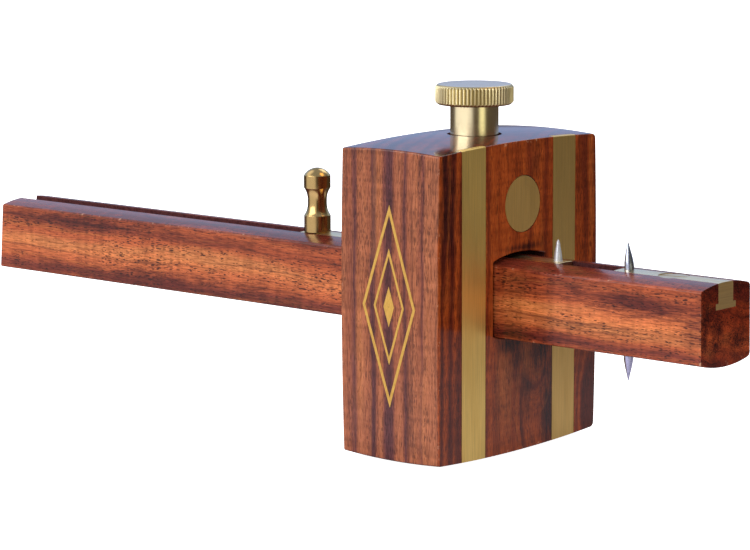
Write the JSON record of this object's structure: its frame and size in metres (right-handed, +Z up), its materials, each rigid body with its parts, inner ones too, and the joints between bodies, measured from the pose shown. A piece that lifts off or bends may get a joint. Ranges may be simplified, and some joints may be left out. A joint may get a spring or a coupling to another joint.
{
  "type": "mortise and marking gauge",
  "caption": "Wooden marking gauge: a brass-faced stock slides on a stem with fixed and adjustable steel pins and is locked by a knurled thumbscrew.",
  "frame": {"origin": "the point where the stem's centre line crosses the fence face", "axes": "+X along the stem to the pins and out of the fence face, +Z up to the thumbscrew"},
  "size_m": [0.2286, 0.0614, 0.0877],
  "materials": {
    "stock_rosewood": "satin lacquer",
    "stem_rosewood": "satin lacquer",
    "strip_brass": "brushed",
    "turned_brass": "polished",
    "bar_brass": "brushed",
    "pin_steel": "polished"
  },
  "bodies": {
    "stock": {"stock": "stock_rosewood", "near_wear_strip": "strip_brass", "far_wear_strip": "strip_brass", "barrel_nut": "turned_brass"},
    "shoe": {"pressure_shoe": "turned_brass"},
    "thumbscrew": {"thumbscrew": "turned_brass"},
    "slide": {"slide_bar": "bar_brass", "pull_knob": "turned_brass", "movable_pin": "pin_steel"},
    "stem": {"stem": "stem_rosewood", "end_insert": "bar_brass", "insert_screw": "bar_brass", "fixed_pin": "pin_steel", "marking_pin": "pin_steel"}
  },
  "joints": [
    {"name": "fence_setting", "type": "slide", "parent": "stock", "child": "slide", "axis": [1, 0, 0], "range_m": [-0.01, 0.0308]},
    {"name": "pin_spacing", "type": "slide", "parent": "slide", "child": "stem", "axis": [1, 0, 0], "range_m": [-0.0156, 0.09]},
    {"name": "shoe_lift", "type": "slide", "parent": "stock", "child": "shoe", "axis": [0, 0, 1], "range_m": [0, 0.0025]},
    {"name": "thumbscrew_turn", "type": "hinge", "parent": "shoe", "child": "thumbscrew", "pos_m": [-0.01475, 0.0012, 0.03], "axis": [0, 0, 1], "range_deg": [0, 720]}
  ],
  "couplings": [
    {"joint": "thumbscrew_turn", "follows": "shoe_lift", "rad_per_m": 5026.5}
  ]
}
